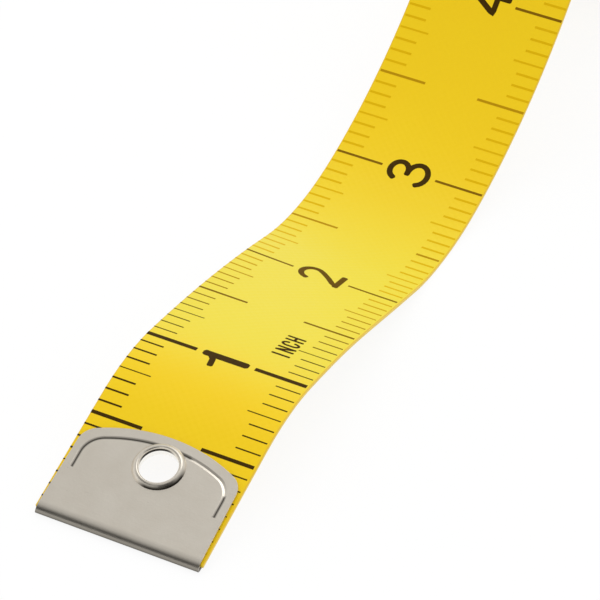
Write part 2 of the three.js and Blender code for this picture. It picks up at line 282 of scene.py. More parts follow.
class StageSettings(bpy.types.PropertyGroup):
    """The camera and the light."""

    camera_place: FloatVectorProperty(
        name="Camera place",
        description="Where the camera stands",
        default=(-0.2936995, -0.102582, 0.202418),
        subtype="TRANSLATION",
    )
    camera_turn: FloatVectorProperty(
        name="Camera turn",
        description="Where the camera looks",
        default=[math.radians(a) for a in (54.1137, -4.333, -65.1134)],
        subtype="EULER",
    )
    lens: FloatProperty(
        name="Lens", description="Focal length on a 36 mm sensor, in mm", default=184.856
    )
    floor_size: length("Floor size", "Side of the studio floor", 6000)
    floor_glow: share("Floor glow", "How far the floor is white of itself and hides shadows", 0.9)
    sky: share("Sky", "Strength of the even light from all round", 0.86)
    flag: share("Flag", "Brightness of the dark flag, which only reflections show", 0.06)
    zenith: share("Zenith", "Brightness straight overhead, which only reflections show", 0.57)
    horizon: share("Horizon", "Brightness all round, which only reflections show", 0.8)
    lamp: FloatProperty(
        name="Lamp",
        description="Brightness of the lamp behind, which only reflections show",
        default=2.0,
    )
    softbox: FloatProperty(
        name="Softbox", description="Power of the large lamp behind", default=5.8, unit="POWER"
    )
    softbox_size: length("Softbox size", "Side of the large lamp", 1200)
    softbox_place: FloatVectorProperty(
        name="Softbox place",
        description="Where the large lamp hangs, turned to the middle of the tape",
        default=(0.9, 0.25, 0.95),
        subtype="TRANSLATION",
    )


class Lay:
    """The middle line of the strip: where it runs and how it heads at each length from zero."""

    def __init__(self, sizes):
        self.sizes = sizes
        self.legs = []
        self.end = 0.0
        self.landing = math.inf
        self.place = Vector((0.0, 0.0))
        self.heading = sizes.tip_pitch
        bends = (
            (sizes.flat_length, 0.0),
            (sizes.crest_length, sizes.crest_turn),
            (sizes.slope_length, sizes.slope_turn),
            (sizes.valley_length, sizes.valley_turn),
            (sizes.rise_length, sizes.rise_turn),
        )
        for reach, turn in bends:
            self.add(reach, turn)
        first_flex = sizes.flat_length + sizes.crest_length / 2
        joint = JOINTS["crest_flex"]["pos_m"]
        shift = Vector((joint[0], joint[2])) - self.at(first_flex)[0]
        self.legs = [(s, r, p + shift, h, t) for s, r, p, h, t in self.legs]
        self.place += shift
        # The run's flex line is in the middle of its arc.
        joint = JOINTS["run_flex"]["pos_m"]
        chord = (Vector((joint[0], joint[2])) - self.place).length
        quarter = sizes.run_turn / 4
        self.add(2 * chord * quarter / math.sin(quarter), sizes.run_turn)
        self.flex_lines = [s + r / 2 for s, r, p, h, t in self.legs[1:]]
        self.landing = self.end
        self.landing_heading = self.heading
        self.core = self.place - sizes.roll_radius * self.upward(self.heading)
        self.slip = sizes.roll_pitch / math.tau
        self.roll_end = self.landing + self.wound(sizes.roll_turn)
        self.place, self.heading = self.at(self.roll_end)
        self.end = self.roll_end
        self.add(-sizes.tuck_radius * sizes.tuck_turn, sizes.tuck_turn)
        self.add(sizes.tail_length, 0.0)

    def wound(self, turn):
        """The length that lies on the roll from its landing to a turn."""
        return self.sizes.roll_radius * turn - self.slip * turn**2 / 2

    @staticmethod
    def upward(heading):
        """The direction out of the printed face."""
        return Vector((-math.sin(heading), math.cos(heading)))

    @staticmethod
    def along(leg, s):
        """Place and heading at s on one leg, a straight or an arc."""
        start, reach, place, heading, turn = leg
        gone = s - start
        if turn == 0.0:
            return place + gone * Vector((math.cos(heading), math.sin(heading))), heading
        bend = turn / reach
        now = heading + bend * gone
        step = Vector((math.sin(now) - math.sin(heading), math.cos(heading) - math.cos(now)))
        return place + step / bend, now

    def add(self, reach, turn):
        """Adds one leg at the end of the line."""
        leg = (self.end, reach, self.place.copy(), self.heading, turn)
        self.legs.append(leg)
        self.end += reach
        self.place, self.heading = self.along(leg, self.end)

    def at(self, s):
        """Place (x, z) and heading at a length from zero."""
        if s <= self.landing or s > self.roll_end:
            starts = [leg[0] for leg in self.legs]
            return self.along(self.legs[max(bisect.bisect(starts, s) - 1, 0)], s)
        radius = self.sizes.roll_radius
        turn = (radius - math.sqrt(radius**2 - 2 * self.slip * (s - self.landing))) / self.slip
        heading = self.landing_heading - turn
        return self.core + (radius - self.slip * turn) * self.upward(heading), heading

    def point(self, s, v, w):
        """The point v across from the middle line at s, and w out of the printed face."""
        place, heading = self.at(s)
        out = w - self.crown(s) * (2 * v / self.sizes.width) ** 2 - self.hang(s, v)
        place = place + out * self.upward(heading)
        return Vector((place.x, v, max(place.y, 0.0)))

    def crown(self, s):
        """How far the strip's edges lie under its middle: nothing, except on the roll."""
        sizes = self.sizes
        started = (s - self.landing) / sizes.crown_start
        stopping = (self.roll_end - s) / sizes.crown_stop
        return sizes.roll_crown * max(min(started, stopping, 1.0), 0.0)

    def hang(self, s, v):
        """How far the slope hangs: nothing at the left edge, most at the right one."""
        sizes = self.sizes
        painted_sheen = min(abs(s - sizes.sag_middle) / sizes.sag_reach, 1.0)
        right = 0.5 - v / sizes.width
        trough = right + sizes.sag_bow * right * (1.0 - right)
        return sizes.sag * trough * math.cos(painted_sheen * math.pi / 2) ** 2

    def matrix(self, s, back=False, aside=0.0):
        """The frame at s: x along the strip, or back along it, y across and z out of the face."""
        place, heading = self.at(s)
        turn = Matrix.Rotation(-heading, 4, "Y")
        if back:
            turn = turn @ Matrix.Rotation(math.pi, 4, "Z")
        return Matrix.Translation((place.x, -aside, place.y)) @ turn

    def seams(self):
        """Where one dressed stretch ends and the next one starts."""
        marks = [*self.flex_lines, self.landing]
        between = [(a + b) / 2 for a, b in zip(marks, marks[1:])]
        return [self.sizes.start, *between, self.end]

    def stations(self, start, stop):
        """Lengths from start to stop, close enough together for the bends they cross."""
        free_stop = min(stop, self.landing)
        count = math.ceil((free_stop - start) / self.sizes.bend_step)
        found = [start + (free_stop - start) * i / count for i in range(count + 1)]
        if stop <= self.landing:
            return found
        steps = math.ceil(self.sizes.roll_turn / self.sizes.roll_step)
        for i in range(1, steps + 1):
            found.append(self.landing + self.wound(self.sizes.roll_turn * i / steps))
        rest = stop - self.roll_end
        count = math.ceil(rest / self.sizes.bend_step)
        return found + [self.roll_end + rest * i / count for i in range(1, count + 1)]


def bar_faces(ring, count, first=0):
    """Faces that join a count of rings of corners to one closed bar."""
    faces = []
    last = first + ring * (count - 1)
    for i in range(first, last, ring):
        for k in range(ring):
            m = (k + 1) % ring
            faces.append((i + k, i + m, i + ring + m, i + ring + k))
    faces.append(tuple(range(first, first + ring))[::-1])
    faces.append(tuple(range(last, last + ring)))
    return faces


class Marks:
    """Printed marks of one stretch, drawn flat as lengths (s, v) and then laid on the strip."""

    # Width of an open stroke's end, as a share of the stroke's: its corners are taken off.
    BLUNT = 0.6

    def __init__(self):
        self.corners = []
        self.faces = []
        self.cover = []

    def loft(self, rings, cover):
        """Joins rings of four corners to one closed bar, with the share of ink on it."""
        self.faces += bar_faces(4, len(rings), len(self.corners))
        self.cover += [cover] * 4 * len(rings)
        for ring in rings:
            self.corners.extend(ring)

    def stroke(self, path, width, step, cover):
        """A stroke of one width along a path, in pieces short enough to follow the strip."""
        path = [Vector(point) for point in path]
        # An open stroke ends half its width past its last point; a ring has no ends.
        is_open = (path[0] - path[-1]).length > TOUCH
        if is_open:
            ahead = (path[0] - path[1]).normalized() * width / 2
            behind = (path[-1] - path[-2]).normalized() * width / 2
            path = [path[0] + ahead, path[0] + ahead / 2, *path[1:-1], path[-1] + behind / 2]
            path.append(path[-1] + behind / 2)
        points = [path[0]]
        for start, stop in zip(path, path[1:]):
            count = max(1, math.ceil((stop - start).length / step))
            points += [start.lerp(stop, i / count) for i in range(1, count + 1)]
        rings = []
        for i, point in enumerate(points):
            before = points[max(i - 1, 0)]
            after = points[min(i + 1, len(points) - 1)]
            run = (after - before).normalized()
            blunt = self.BLUNT if is_open and i in (0, len(points) - 1) else 1.0
            side = Vector((-run.y, run.x)) * blunt * width / 2
            left, right = point + side, point - side
            rings.append([(*left, 0.0), (*right, 0.0), (*right, 1.0), (*left, 1.0)])
        self.loft(rings, cover)

    def mesh(self, name, lay, drift, foot, top):
        """The marks as a mesh on the strip, moved across by a drift, from foot to top."""
        made = bpy.data.meshes.new(name)
        places = [lay.point(s, v - drift(s), foot + (top - foot) * h) for s, v, h in self.corners]
        made.from_pydata(places, [], self.faces)
        face_outwards(made)
        cover = made.attributes.new("cover", "FLOAT", "POINT")
        cover.data.foreach_set("value", self.cover)
        return made


def arc(x, y, wide, high, start, stop, step=15):
    """Points of an elliptic arc in a glyph's square, from one angle to another in degrees."""
    count = max(2, math.ceil(abs(stop - start) / step))
    turns = [math.radians(start + (stop - start) * i / count) for i in range(count + 1)]
    return [(x + wide * math.cos(t), y + high * math.sin(t)) for t in turns]


# Where the stem of a 1 stands in its square.
STEM = 0.6
SIX = [arc(0.5, 0.31, 0.5, 0.31, 90, 450), arc(0.78, 0.31, 0.78, 0.69, 180, 88)]

# Plain strokes of each character in a square from 0 to 1; the stroke's width comes on top.
GLYPHS = {
    "0": [arc(0.5, 0.5, 0.5, 0.5, 90, 450)],
    "1": [
        [(STEM, 1.0), (STEM, 0.0)],
        [(0.66, 1.04), (0.5, 0.87), (0.32, 0.78), (0.06, 0.75), (-0.05, 0.74)],
    ],
    "2": [
        arc(0.5, 0.73, 0.49, 0.27, 165, -20) + [(0.84, 0.52), (0.52, 0.3), (0.2, 0.12), (0.1, 0.02)],
        [(0.04, 0.0), (0.98, 0.0)],
    ],
    "3": [
        arc(0.48, 0.765, 0.44, 0.235, 160, -90) + [(0.43, 0.53)],
        arc(0.48, 0.265, 0.52, 0.265, 90, -160),
    ],
    "4": [[(0.72, 1.0), (0.0, 0.3), (1.0, 0.3)], [(0.72, 1.0), (0.72, 0.0)]],
    "5": [
        [(0.94, 1.0), (0.14, 1.0)],
        [(0.16, 1.0), (0.08, 0.5)],
        [(0.1, 0.5)] + arc(0.47, 0.33, 0.53, 0.33, 125, -158),
    ],
    "6": SIX,
    "7": [[(0.0, 1.0), (1.0, 1.0)], [(0.98, 1.0), (0.58, 0.45), (0.36, 0.0)]],
    "8": [arc(0.5, 0.77, 0.42, 0.23, 90, 450), arc(0.5, 0.27, 0.5, 0.27, 90, 450)],
    "9": [[(1 - x, 1 - y) for x, y in path] for path in SIX],
    "I": [[(0.5, 0.0), (0.5, 1.0)]],
    "N": [[(0.0, 0.0), (0.0, 1.0)], [(0.0, 1.0), (1.0, 0.0)], [(1.0, 0.0), (1.0, 1.0)]],
    "C": [arc(0.5, 0.66, 0.5, 0.34, 10, 180) + arc(0.5, 0.34, 0.5, 0.34, 180, 350)],
    "H": [[(0.0, 0.0), (0.0, 1.0)], [(1.0, 0.0), (1.0, 1.0)], [(0.0, 0.5), (1.0, 0.5)]],
}

# Strokes that are lighter than the rest of their character, by their order in it.
LIGHT_STROKES = {("1", 1): 0.66}


def face_outwards(mesh):
    """Turns all faces of a closed mesh outwards."""
    work = bmesh.new()
    work.from_mesh(mesh)
    bmesh.ops.recalc_face_normals(work, faces=work.faces)
    work.to_mesh(mesh)
    work.free()


def select_only(piece):
    """Makes a piece active and the only one selected."""
    bpy.ops.object.select_all(action="DESELECT")
    piece.select_set(True)
    bpy.context.view_layer.objects.active = piece


def link(mesh):
    """A new object for a mesh, in the scene, active and the only one selected."""
    made = bpy.data.objects.new(mesh.name, mesh)
    bpy.context.scene.collection.objects.link(made)
    select_only(made)
    return made


def closed_line(name, points):
    """A new piece that is one closed line through points, in edit mode with all of it selected."""
    mesh = bpy.data.meshes.new(name)
    count = len(points)
    mesh.from_pydata(points, [(i, (i + 1) % count) for i in range(count)], [])
    piece = link(mesh)
    bpy.ops.object.mode_set(mode="EDIT")
    bpy.ops.mesh.select_all(action="SELECT")
    return piece


def shape(piece, kind, **settings):
    """Adds one modifier with its settings and applies it."""
    modifier = piece.modifiers.new(kind, kind)
    for name, value in settings.items():
        setattr(modifier, name, value)
    bpy.context.view_layer.objects.active = piece
    bpy.ops.object.modifier_apply(modifier=modifier.name)


def cut(piece, cutter, operation):
    """Cuts a piece with a cutter, and removes the cutter."""
    shape(piece, "BOOLEAN", object=cutter, operation=operation, solver="EXACT")
    bpy.data.objects.remove(cutter)


def prism(name, outline, low, high):
    """A closed prism over a flat outline."""
    piece = closed_line(name, [(x, y, low) for x, y in outline])
    bpy.ops.mesh.edge_face_add()
    bpy.ops.mesh.extrude_region_move(TRANSFORM_OT_translate={"value": (0, 0, high - low)})
    bpy.ops.mesh.select_all(action="SELECT")
    bpy.ops.mesh.normals_make_consistent(inside=False)
    bpy.ops.object.mode_set(mode="OBJECT")
    return piece


def place_piece(piece, name, matrix, material, smooth, pressed=False):
    """Names a finished piece, moves its mesh to its place and gives it its material.

    Edges that turn by less than the angle smooth, in degrees, are shaded as one surface.
    """
    piece.name = name
    piece.data.name = name
    piece.data.transform(matrix)
    piece.data.materials.clear()
    piece.data.materials.append(material)
    select_only(piece)
    bpy.ops.object.shade_smooth_by_angle(angle=math.radians(smooth))
    # Large flat faces of pressed metal keep their own normals beside rounded edges.
    if pressed:
        shape(piece, "WEIGHTED_NORMAL", keep_sharp=True)
    return piece


def add_node(tree, kind, links, **settings):
    """Adds a shader node; settings are its own options, links give its inputs a value or an output.

    A node among the links stands for its first output that is in use.
    """
    made = tree.nodes.new("ShaderNode" + kind)
    for name, value in settings.items():
        setattr(made, name, value)
    for socket, value in links.items():
        if isinstance(value, bpy.types.Node):
            value = next(output for output in value.outputs if output.enabled)
        if isinstance(value, bpy.types.NodeSocket):
            tree.links.new(value, made.inputs[socket])
        else:
            made.inputs[socket].default_value = value
    return made


def new_material(name):
    """A material with an empty node tree, or the one of that name that is already made."""
    material = bpy.data.materials.get(name)
    if material:
        return material, None
    material = bpy.data.materials.new(name)
    material.use_nodes = True
    material.node_tree.nodes.clear()
    return material, material.node_tree


def coated_cloth(finish, sizes):
    """Woven cotton with a calendered vinyl coat.

    The coat gives a soft, even gloss, and the threads below show through it as a fine weave.
    """
    material, tree = new_material("vinyl_coated_cotton_calendered")
    if tree is None:
        return material
    # The map holds metres along and across the strip; from here on they are millimetres.
    lay = add_node(tree, "UVMap", {}, uv_map="lay")
    flat = add_node(tree, "VectorMath", {0: lay, 1: [1 / MM] * 3}, operation="MULTIPLY")
    along, across, _ = add_node(tree, "SeparateXYZ", {0: flat}).outputs
    # Threads 0.5 mm apart; real ones are nearer 0.3 mm, which would not show in the render.
    per_thread = math.pi * MM / sizes.thread
    waves = []
    for axis in (along, across):
        turn = add_node(tree, "Math", {0: axis, 1: per_thread}, operation="MULTIPLY")
        waves.append(add_node(tree, "Math", {0: turn}, operation="SINE"))
    weave = add_node(tree, "Math", {0: waves[0], 1: waves[1]}, operation="MULTIPLY")
    # Grain of about 0.3 mm, from the calender's rollers.
    grain = add_node(
        tree, "TexNoise", {"Vector": flat, "Scale": 3.0, "Detail": 3.0, "Roughness": 0.6}
    )
    relief = add_node(tree, "Math", {0: weave, 1: 0.5, 2: grain}, operation="MULTIPLY_ADD")
    bump = add_node(tree, "Bump", {"Strength": 0.22, "Distance": 0.04 * MM, "Height": relief})
    # Slow changes of tone over about 12 mm, as a coat spread by a blade has.
    cloud = add_node(
        tree, "TexNoise", {"Vector": flat, "Scale": 0.08, "Detail": 4.0, "Roughness": 0.55}
    )
    tone = add_node(tree, "Mix", {0: cloud, 6: finish.cloth, 7: finish.cloth_deep}, data_type="RGBA")
    # Painted sheen: over the first inches the coat is painted paler and more lemon, where its sheen
    # would show.
    painted_sheen = 1.0
    for none, most in ((sizes.fade_start, sizes.fade_full), (sizes.fade_stop, sizes.fade_ease)):
        painted_sheen = add_node(
            tree,
            "MapRange",
            {"Value": along, "From Min": none / MM, "From Max": most / MM, "To Max": painted_sheen},
            interpolation_type="SMOOTHSTEP",
        )
    tone = add_node(tree, "Mix", {0: painted_sheen, 6: tone, 7: finish.cloth_faded}, data_type="RGBA")
    # The cut edges show the bare weave.
    half = sizes.width / 2
    aside = add_node(tree, "Math", {0: across}, operation="ABSOLUTE")
    bare = add_node(
        tree,
        "MapRange",
        {
            "Value": aside,
            "From Min": (half - sizes.edge_whole) / MM,
            "From Max": (half - sizes.edge_bare) / MM,
        },
    )
    skin = add_node(tree, "Mix", {0: bare, 6: tone, 7: finish.cloth_edge}, data_type="RGBA")
    gloss = add_node(tree, "MapRange", {"Value": grain, "To Min": 0.34, "To Max": 0.46})
    surface = add_node(
        tree,
        "BsdfPrincipled",
        {
            "Base Color": skin,
            "Roughness": gloss,
            "Specular IOR Level": 0.2,
            "Sheen Weight": 0.6,
            "Sheen Roughness": 0.4,
            "Sheen Tint": finish.cloth_sheen,
            "Normal": bump,
        },
    )
    add_node(tree, "OutputMaterial", {0: surface})
    return material


def printed_ink(finish):
    """Flexographic printing ink on vinyl: a matt dark film, thinner where the coat is uneven."""
    material, tree = new_material("flexo_ink_printed")
    if tree is None:
        return material
    place = add_node(tree, "TexCoord", {}).outputs["Object"]
    # Uneven ink over about 0.5 mm.
    patch = add_node(tree, "TexNoise", {"Vector": place, "Scale": 2000.0, "Detail": 2.0})
    film = add_node(tree, "Mix", {0: patch, 6: finish.ink, 7: finish.ink_thin}, data_type="RGBA")
    # Marks that got little ink turn reddish, and the yellow coat shows through them; one number's
    # thinner ink is a painted highlight.
    cover = add_node(tree, "Attribute", {}, attribute_name="cover").outputs["Fac"]
    for below in (finish.ink_faint, finish.cloth):
        film = add_node(tree, "Mix", {0: cover, 6: below, 7: film}, data_type="RGBA")
    surface = add_node(
        tree, "BsdfPrincipled", {"Base Color": film, "Roughness": 0.5, "Specular IOR Level": 0.06}
    )
    add_node(tree, "OutputMaterial", {0: surface})
    return material


# The fold is painted with reflection and shade between two heights: (share of the way up, how much
# of the plating's own colour shows there).
PAINTED_LOW, PAINTED_HIGH = 0.2 * MM, 1.3 * MM
FOLD_PAINTED_LIGHT = (
    (0.0, 0.15),
    (0.182, 0.2),
    (0.282, 0.3),
    (0.382, 0.42),
    (0.445, 0.5),
    (0.527, 0.47),
    (0.59, 0.36),
    (0.636, 0.42),
    (0.745, 0.72),
    (0.845, 0.9),
)


def nickel_plate(finish):
    """Nickel-plated sheet steel, pressed and handled: a satin, slightly warm metal.

    Fine grain from the rolled sheet, faint tarnish and speckle break its reflections.
    """
    material, tree = new_material("nickel_plated_steel_pressed")
    if tree is None:
        return material
    place = add_node(tree, "TexCoord", {}).outputs["Object"]
    # Tarnish in patches of about 3 mm.
    patch = add_node(
        tree, "TexNoise", {"Vector": place, "Scale": 330.0, "Detail": 5.0, "Roughness": 0.6}
    )
    skin = add_node(
        tree, "Mix", {0: patch, 6: finish.nickel, 7: finish.nickel_dull}, data_type="RGBA"
    )
    # Along the fold, painted reflection and painted shade: a dark band high on the bend and a light
    # band below it stand for what the bend would mirror, and the bottom is painted darkest, a
    # painted contact shadow.
    height = add_node(tree, "SeparateXYZ", {0: place}).outputs[2]
    level = add_node(
        tree, "MapRange", {"Value": height, "From Min": PAINTED_LOW, "From Max": PAINTED_HIGH}
    )
    painted_bands = add_node(tree, "ValToRGB", {0: level})
    stops = painted_bands.color_ramp.elements
    for at, unpainted in FOLD_PAINTED_LIGHT:
        stop = stops.new(at) if at else stops[0]
        stop.color = (unpainted, unpainted, unpainted, 1.0)
    skin = add_node(tree, "Mix", {0: painted_bands, 6: finish.nickel_worn, 7: skin}, data_type="RGBA")
    # Painted on: the coined line's bottom darker, painted shade on the eyelet, and a painted
    # reflection that brightens the eyelet's bore.
    for mark, tone in (("dark_paint", finish.nickel_worn), ("rubbed", finish.nickel_rubbed)):
        amount = add_node(tree, "Attribute", {}, attribute_name=mark).outputs["Fac"]
        skin = add_node(tree, "Mix", {0: amount, 6: skin, 7: tone}, data_type="RGBA")
    # Fine speckle of about 0.3 mm, as pressing leaves on a thin plating.
    speckle = add_node(
        tree, "TexNoise", {"Vector": place, "Scale": 3300.0, "Detail": 2.0, "Roughness": 0.5}
    )
    # Rolling grain across the strip, 0.15 mm wide and 2 mm long.
    stretch = add_node(tree, "Mapping", {"Vector": place, "Scale": (6500.0, 500.0, 6500.0)})
    grain = add_node(
        tree, "TexNoise", {"Vector": stretch, "Scale": 1.0, "Detail": 3.0, "Roughness": 0.65}
    )
    gloss = add_node(tree, "MapRange", {"Value": grain, "To Min": 0.22, "To Max": 0.42})
    relief = add_node(tree, "Math", {0: speckle, 1: 2.0, 2: grain}, operation="MULTIPLY_ADD")
    bump = add_node(tree, "Bump", {"Strength": 0.16, "Distance": 0.02 * MM, "Height": relief})
    surface = add_node(
        tree,
        "BsdfPrincipled",
        {"Base Color": skin, "Metallic": 1.0, "Roughness": gloss, "Normal": bump},
    )
    add_node(tree, "OutputMaterial", {0: surface})
    return material


def seen_rays(tree):
    """The light path, and a value that is 1 on what the eye sees, also by reflection or glass."""
    path = add_node(tree, "LightPath", {})
    seen = path.outputs["Is Camera Ray"]
    for ray in ("Is Glossy Ray", "Is Transmission Ray"):
        seen = add_node(tree, "Math", {0: seen, 1: path.outputs[ray]}, operation="MAXIMUM")
    return path, seen


class TAPE_OT_stage(bpy.types.Operator):
    """Set up the floor, the light and the camera"""

    bl_idname = "tape.stage"
    bl_label = "Stage"

    # The room that reflections show, by direction: how far back, left and up, from -1 to 1.
    # It turns greyer between two heights. Each patch in it has soft edges, given as where none of
    # the patch shows and where all of it does. The front flag is higher at its ends, so it is
    # also bounded by a height that leans with the distance from the middle.
    GREYER = (0.3, 0.92)
    LEAN = -0.6
    FRONT_FLAG = {"back": (-0.1, -0.45), "up": (0.35, 0.55), "leaning": (0.72, 0.5)}
    SIDE_FLAG = {"back": (-0.15, -0.4), "left": (-0.15, -0.35), "up": (0.9, 0.75)}
    LAMP_AT = Vector((0.5, -0.06, 0.86)).normalized()
    LAMP = {"lamp": (math.cos(0.38), math.cos(0.23))}

    def floor(self, settings, finish):
        """A floor that is nearly white of itself where it is seen, so its shadow is faint."""
        bpy.ops.object.select_all(action="DESELECT")
        bpy.ops.mesh.primitive_plane_add(size=settings.floor_size, location=(0, 0, 0))
        floor = bpy.context.object
        floor.name = "floor"
        material, tree = new_material("studio_paper_matt")
        _, seen = seen_rays(tree)
        glowing = add_node(tree, "Math", {0: seen, 1: settings.floor_glow}, operation="MULTIPLY")
        paper = add_node(tree, "BsdfDiffuse", {"Color": finish.floor})
        glow = add_node(tree, "Emission", {"Color": finish.floor})
        surface = add_node(tree, "MixShader", {0: glowing, 1: paper, 2: glow})
        add_node(tree, "OutputMaterial", {0: surface})
        floor.data.materials.append(material)

    def room(self, settings):
        """An even sky; reflections alone show the room, which gives the metal tone and shape."""
        world = bpy.data.worlds.new("studio")
        world.use_nodes = True
        tree = world.node_tree
        tree.nodes.clear()
        path, seen = seen_rays(tree)
        place = add_node(tree, "TexCoord", {}).outputs["Generated"]
        back, left, up = add_node(tree, "SeparateXYZ", {0: place}).outputs
        aside = add_node(tree, "Math", {0: left}, operation="ABSOLUTE")
        leaning = add_node(tree, "Math", {0: aside, 1: self.LEAN, 2: up}, operation="MULTIPLY_ADD")
        lamp = add_node(tree, "VectorMath", {0: place, 1: self.LAMP_AT}, operation="DOT_PRODUCT")
        ways = {"back": back, "left": left, "up": up, "leaning": leaning, "lamp": lamp}
        shade = add_node(
            tree,
            "MapRange",
            {
                "Value": up,
                "From Min": self.GREYER[0],
                "From Max": self.GREYER[1],
                "To Min": settings.horizon,
                "To Max": settings.zenith,
            },
        )
        for brightness, edges in (
            (settings.flag, self.FRONT_FLAG),
            (settings.flag, self.SIDE_FLAG),
            (settings.lamp, self.LAMP),
        ):
            shown = 1.0
            for way, (none, full) in edges.items():
                edge = add_node(
                    tree,
                    "MapRange",
                    {"Value": ways[way], "From Min": none, "From Max": full},
                    interpolation_type="SMOOTHSTEP",
                )
                shown = add_node(tree, "Math", {0: edge, 1: shown}, operation="MULTIPLY")
            shade = add_node(tree, "Mix", {0: shown, 2: shade, 3: brightness})
        glossy = add_node(tree, "Mix", {0: path.outputs["Is Glossy Ray"], 2: 1.0, 3: shade})
        level = add_node(tree, "Mix", {0: seen, 2: settings.sky, 3: glossy})
        sky = add_node(tree, "Background", {"Color": (1.0, 1.0, 1.0, 1.0), "Strength": level})
        add_node(tree, "OutputWorld", {0: sky})
        return world

    def execute(self, context):
        scene = context.scene
        settings = scene.tape_stage
        scene.view_settings.view_transform = "Standard"
        self.floor(settings, scene.tape_finishes)
        scene.world = self.room(settings)

        lamp = bpy.data.lights.new("softbox", "AREA")
        lamp.shape = "SQUARE"
        lamp.size = settings.softbox_size
        lamp.energy = settings.softbox
        softbox = bpy.data.objects.new("softbox", lamp)
        softbox.location = settings.softbox_place
        softbox.rotation_euler = (-softbox.location).to_track_quat("-Z", "Y").to_euler()
        softbox.visible_glossy = False
        scene.collection.objects.link(softbox)

        lens = bpy.data.cameras.new("camera")
        lens.sensor_width = 36.0
        lens.lens = settings.lens
        lens.clip_start = 0.01
        camera = bpy.data.objects.new("camera", lens)
        camera.location = settings.camera_place
        camera.rotation_euler = settings.camera_turn
        scene.collection.objects.link(camera)
        scene.camera = camera
        return {"FINISHED"}


def strip_section(sizes):
    """The strip's section as (v, w) points, a flat bar with rounded long edges."""
    across = sizes.width / 2 - sizes.edge_round
    out = sizes.thickness / 2 - sizes.edge_round
    # Points across both faces, the outer ones close to the rounding so that the faces look flat.
    rows = [across - sizes.edge_round, *(across * i / 4 for i in range(3, -4, -1))]
    rows.append(sizes.edge_round - across)
    face = sizes.thickness / 2
    top = [(v, face) for v in rows]
    bottom = [(-v, -face) for v in rows]
    points = []
    for v, w, start, next_face in (
        (across, out, 0, top),
        (-across, out, 90, []),
        (-across, -out, 180, bottom),
        (across, -out, 270, []),
    ):
        for turn in (0, 30, 60, 90):
            t = math.radians(start + turn)
            bulge, rise = sizes.edge_round * math.cos(t), sizes.edge_round * math.sin(t)
            points.append((v + bulge, w + rise))
        points += next_face
    return points


def strip_mesh(name, lay, stations):
    """A stretch of the strip as a closed sheet, with a map of metres along and across."""
    section = strip_section(lay.sizes)
    ring = len(section)
    places = [lay.point(s, v, w) for s in stations for v, w in section]
    mesh = bpy.data.meshes.new(name)
    mesh.from_pydata(places, [], bar_faces(ring, len(stations)))
    face_outwards(mesh)
    table = mesh.uv_layers.new(name="lay")
    for loop, slot in zip(mesh.loops, table.data):
        station, k = divmod(loop.vertex_index, ring)
        slot.uv = (stations[station], section[k][0])
    return mesh


def join_stretch(piece, lay, number):
    """Attaches a piece on the roll to the roll's body; any other piece is only baked where it
    stands, and does not bend at its flex line.
    """
    body, _, joint = STRETCHES[number]
    if joint is None:
        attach(piece, body)
        return
    flex = lay.flex_lines[number]
    reach = lay.sizes.flex_reach
    start = lay.point(flex - reach, 0.0, 0.0)
    stop = lay.point(flex + reach, 0.0, 0.0)
    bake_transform(piece)


def hole_punch(metal, depth, matrix):
    """A round punch for the eyelet's hole."""
    bpy.ops.object.select_all(action="DESELECT")
    bpy.ops.mesh.primitive_cylinder_add(
        vertices=64,
        radius=metal.eyelet_bore / 2 + metal.eyelet_wall + metal.eyelet_clearance,
        depth=depth,
    )
    punch = bpy.context.object
    punch.data.transform(matrix)
    return punch


class TAPE_OT_strip(bpy.types.Operator):
    """Model the coated cloth strip, from the tip to its tail inside the roll"""

    bl_idname = "tape.strip"
    bl_label = "Strip"

    def execute(self, context):
        scene = context.scene
        sizes = scene.tape_strip
        metal = scene.tape_metal
        lay = Lay(sizes)
        seams = lay.seams()
        hole = lay.matrix(metal.eyelet_at, aside=metal.eyelet_aside)
        cloth = coated_cloth(scene.tape_finishes, sizes)
        for number, (body, node, _) in enumerate(STRETCHES):
            stations = lay.stations(seams[number], seams[number + 1])
            piece = link(strip_mesh("cloth_" + body, lay, stations))
            if number == 0:
                cut(piece, hole_punch(metal, 4 * sizes.thickness, hole), "DIFFERENCE")
            place_piece(piece, "cloth_" + body, Matrix.Identity(4), cloth, smooth=35)
            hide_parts(node)
            join_stretch(piece, lay, number)
        return {"FINISHED"}


